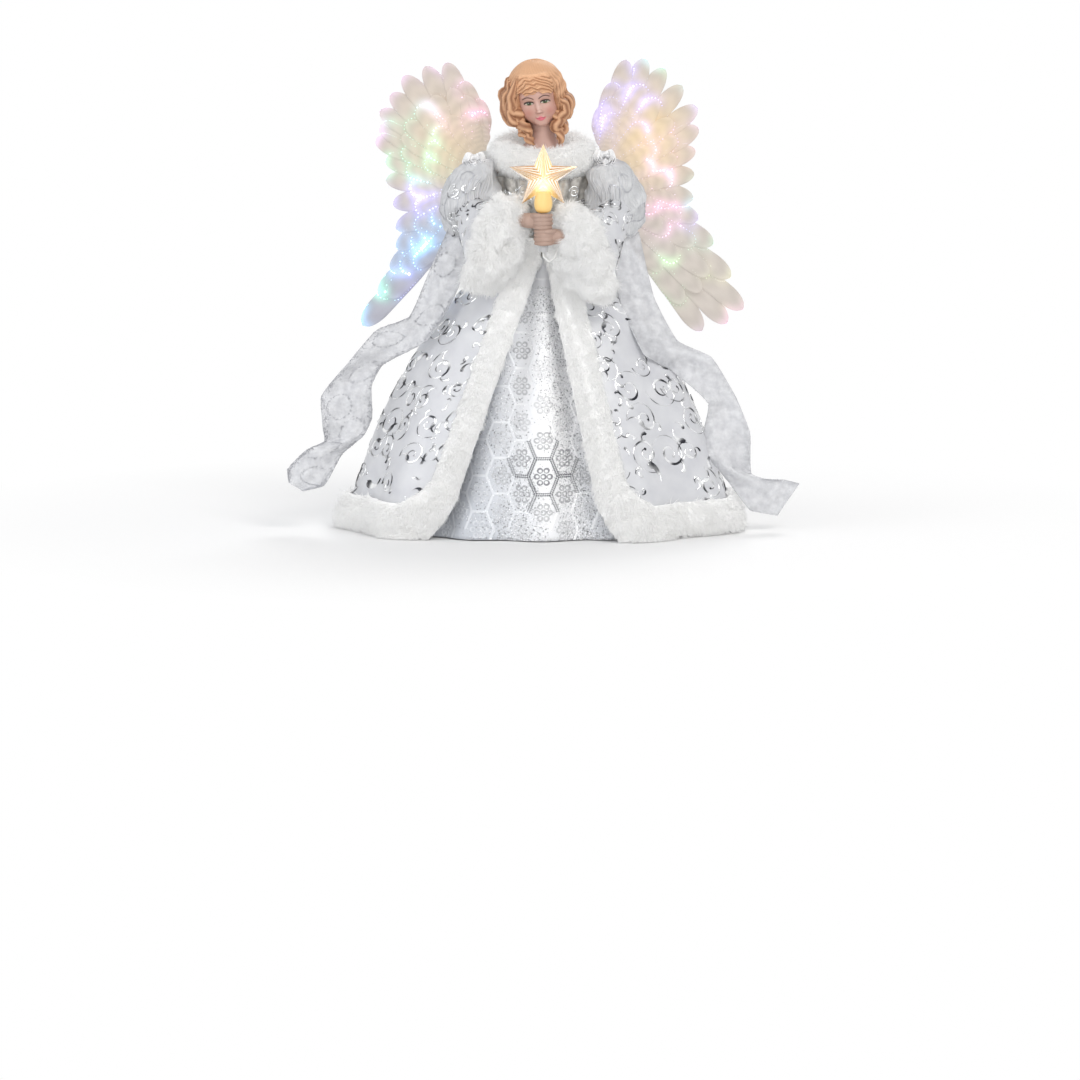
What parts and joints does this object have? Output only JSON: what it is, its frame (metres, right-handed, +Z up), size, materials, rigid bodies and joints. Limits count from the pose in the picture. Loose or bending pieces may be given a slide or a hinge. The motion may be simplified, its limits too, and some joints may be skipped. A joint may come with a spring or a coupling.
{
  "type": "angel tree topper",
  "caption": "Dressed angel doll on a paper cone for a tree top, with swivelling lit feather wings, plush-trimmed robe and a lit star held in both hands.",
  "frame": {"origin": "on the floor plane, under the middle of the outline seen from above", "axes": "+Z up along the cone, the doll faces -Y, +X to the right of someone looking at its face"},
  "size_m": [0.3346, 0.192, 0.3058],
  "materials": {
    "paper_cone": "matte card",
    "lace": "woven lace with a raised pattern",
    "satin": "satin with silver foil scrolls",
    "plush": "long-pile plush",
    "organza": "sheer organza",
    "skin": "matte vinyl",
    "hair": "matte moulded vinyl",
    "feather": "natural feather",
    "white_plastic": "satin moulded plastic",
    "cream_plastic": "glossy, lit from inside",
    "clear_plastic": "clear, faceted",
    "lamp_glass": "clear, lit",
    "board": "solder mask",
    "steel": "plated",
    "lead": "PVC sheath",
    "fibre": "clear fibre",
    "foam": "foam tape",
    "cell": "plain wrapper"
  },
  "bodies": {
    "root": {"arm_left": "skin", "arm_right": "skin", "battery_case": "white_plastic", "battery_lead": "lead", "bodice": "satin", "bracket_screw_1": "steel", "bracket_screw_2": "steel", "case_pad": "foam", "cell_1": "cell", "cell_2": "cell", "cell_3": "cell", "collar": "plush", "cone_former": "paper_cone", "contact_strip_foot": "steel", "contact_strip_top": "steel", "cuff_left": "plush", "cuff_right": "plush", "ferrule_lid": "white_plastic", "fibre_bundle_left": "fibre", "fibre_bundle_right": "fibre", "front_band_left": "plush", "front_band_right": "plush", "hair": "hair", "hand_left": "skin", "hand_right": "skin", "head": "skin", "hem_band": "plush", "lamp_cup": "cream_plastic", "led_board": "board", "lid_screw_left": "steel", "lid_screw_right": "steel", "light_housing": "white_plastic", "puff_left": "organza", "puff_right": "organza", "robe": "satin", "sash_left": "organza", "sash_right": "organza", "sleeve_left": "satin", "sleeve_right": "satin", "star_lamp": "lamp_glass", "star_lead": "lead", "torch_stem": "white_plastic", "torso_back": "white_plastic", "torso_front": "white_plastic", "under_skirt": "lace", "wing_bracket": "white_plastic"},
    "wing_left": {"wing_spine_left": "white_plastic", "covert_feathers_left": "feather", "fibre_fan_left": "fibre", "long_feathers_left": "feather"},
    "wing_right": {"wing_spine_right": "white_plastic", "covert_feathers_right": "feather", "fibre_fan_right": "fibre", "long_feathers_right": "feather"},
    "star": {"star_lens": "clear_plastic"},
    "cover": {"battery_cover": "white_plastic"},
    "switch": {"switch_button": "white_plastic"}
  },
  "joints": [
    {"name": "wing_left_swivel", "type": "hinge", "parent": "root", "child": "wing_left", "pos_m": [-0.03379, 0.02612, 0.222], "axis": [0, 0, -1], "range_deg": [-5, 50]},
    {"name": "wing_right_swivel", "type": "hinge", "parent": "root", "child": "wing_right", "pos_m": [0.03221, 0.02612, 0.222], "axis": [0, 0, 1], "range_deg": [-5, 50]},
    {"name": "star_pull", "type": "slide", "parent": "root", "child": "star", "axis": [0, 0, 1], "range_m": [0, 0.03]},
    {"name": "cover_pull", "type": "slide", "parent": "root", "child": "cover", "axis": [0, -0.9607, -0.2774], "range_m": [0, 0.03]},
    {"name": "switch_slide", "type": "slide", "parent": "root", "child": "switch", "axis": [1, 0, 0], "range_m": [0, 0.003]}
  ]
}
